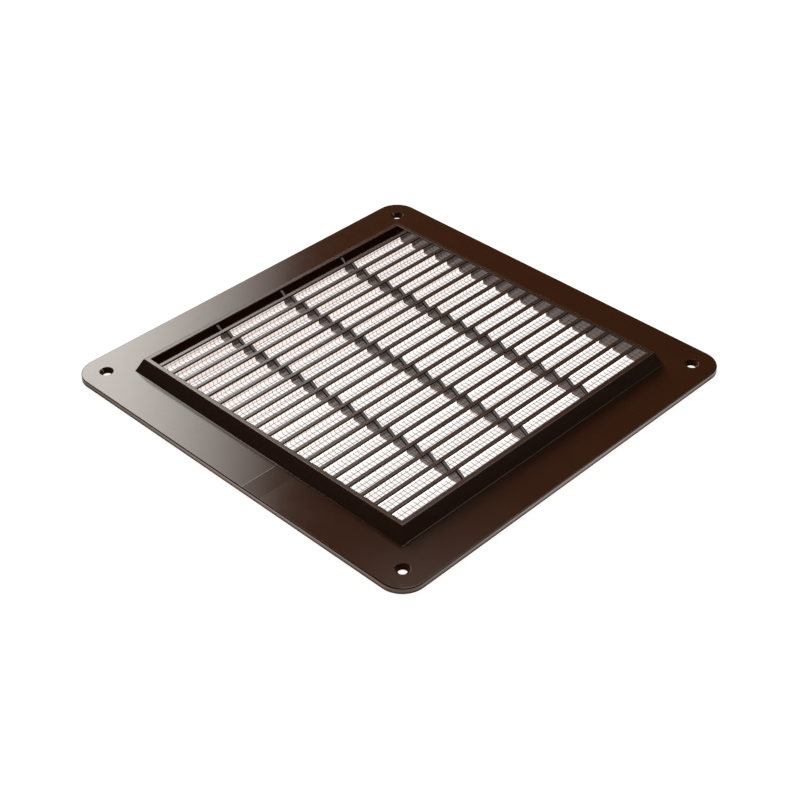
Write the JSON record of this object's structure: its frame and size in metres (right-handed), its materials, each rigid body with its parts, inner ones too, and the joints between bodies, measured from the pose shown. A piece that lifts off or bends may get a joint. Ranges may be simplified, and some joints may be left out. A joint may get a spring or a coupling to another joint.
{
  "type": "ventilation grille",
  "caption": "Square surface-mounted ventilation grille: a flat flange with countersunk corner holes, a raised rim, fixed rain louvres on cross ribs and an insect net staked to the back.",
  "frame": {"origin": "middle of the back, on the surface of the wall that the grille is screwed to", "axes": "+Z points away from the wall, +Y is up on the wall (the louvres' front edges hang down towards -Y), X runs along the louvres"},
  "size_m": [0.2, 0.2, 0.009],
  "materials": {
    "brown_plastic": "satin moulded plastic with a soft sheen",
    "net_yarn": "dark coated yarn"
  },
  "bodies": {
    "root": {"grille_body": "brown_plastic", "insect_net": "net_yarn"}
  },
  "joints": []
}
